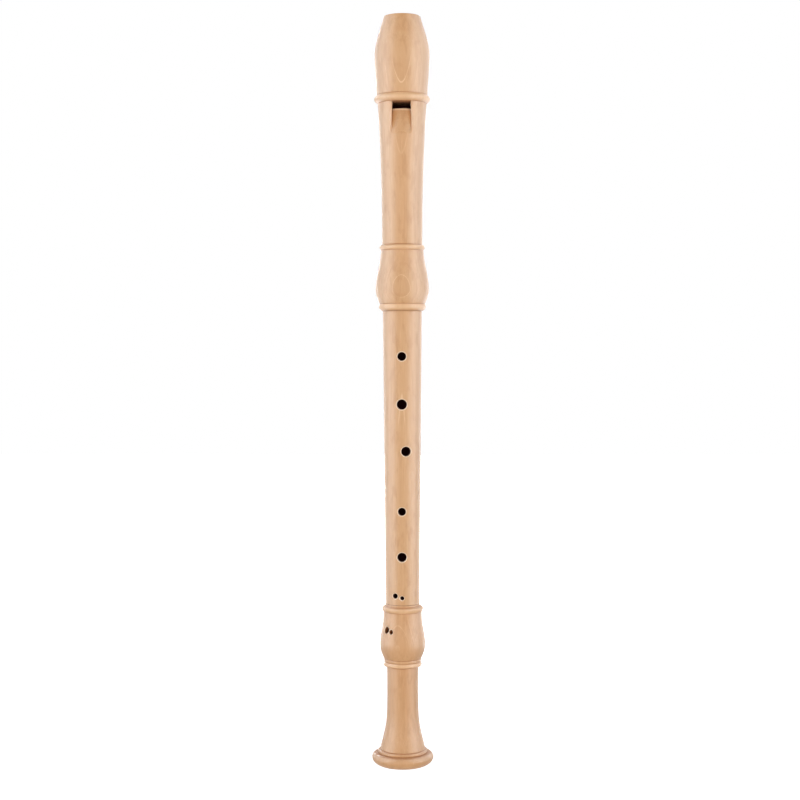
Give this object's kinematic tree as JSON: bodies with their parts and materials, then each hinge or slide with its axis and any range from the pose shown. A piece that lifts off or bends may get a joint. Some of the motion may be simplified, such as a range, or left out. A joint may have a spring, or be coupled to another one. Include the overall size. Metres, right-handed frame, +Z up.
{
  "type": "tenor recorder",
  "caption": "Wooden tenor recorder in three joints: beaked head with block and window, finger-holed middle joint and flared foot on cork-lapped tenons.",
  "frame": {"origin": "centre of the bell's flat end, on the bore's axis", "axes": "+Z up the bore towards the beak, -Y towards the window and the finger holes, +Y towards the thumb hole"},
  "size_m": [0.0536, 0.0536, 0.65],
  "materials": {
    "maple_head": "pale maple, satin oil and wax",
    "maple_middle": "pale maple, satin oil and wax",
    "maple_foot": "pale maple, satin oil and wax",
    "cedar_block": "cedar, bare and matt",
    "tenon_cork": "sheet cork, waxed"
  },
  "bodies": {
    "middle": {"middle_joint": "maple_middle"},
    "upper_cork": {"upper_tenon_cork": "tenon_cork"},
    "head": {"head_joint": "maple_head"},
    "block": {"block": "cedar_block"},
    "lower_cork": {"lower_tenon_cork": "tenon_cork"},
    "foot": {"foot_joint": "maple_foot"}
  },
  "joints": [
    {"name": "head_turn", "type": "hinge", "parent": "middle", "child": "upper_cork", "pos_m": [0, 0, 0.4104], "axis": [0, 0, 1], "continuous": true},
    {"name": "head_pull", "type": "slide", "parent": "upper_cork", "child": "head", "axis": [0, 0, 1], "range_m": [0, 0.036]},
    {"name": "block_pull", "type": "slide", "parent": "head", "child": "block", "axis": [0, 0, 1], "range_m": [0, 0.08]},
    {"name": "foot_turn", "type": "hinge", "parent": "middle", "child": "lower_cork", "pos_m": [0, 0, 0.1308], "axis": [0, 0, 1], "continuous": true},
    {"name": "foot_pull", "type": "slide", "parent": "lower_cork", "child": "foot", "axis": [0, 0, -1], "range_m": [0, 0.026]}
  ]
}
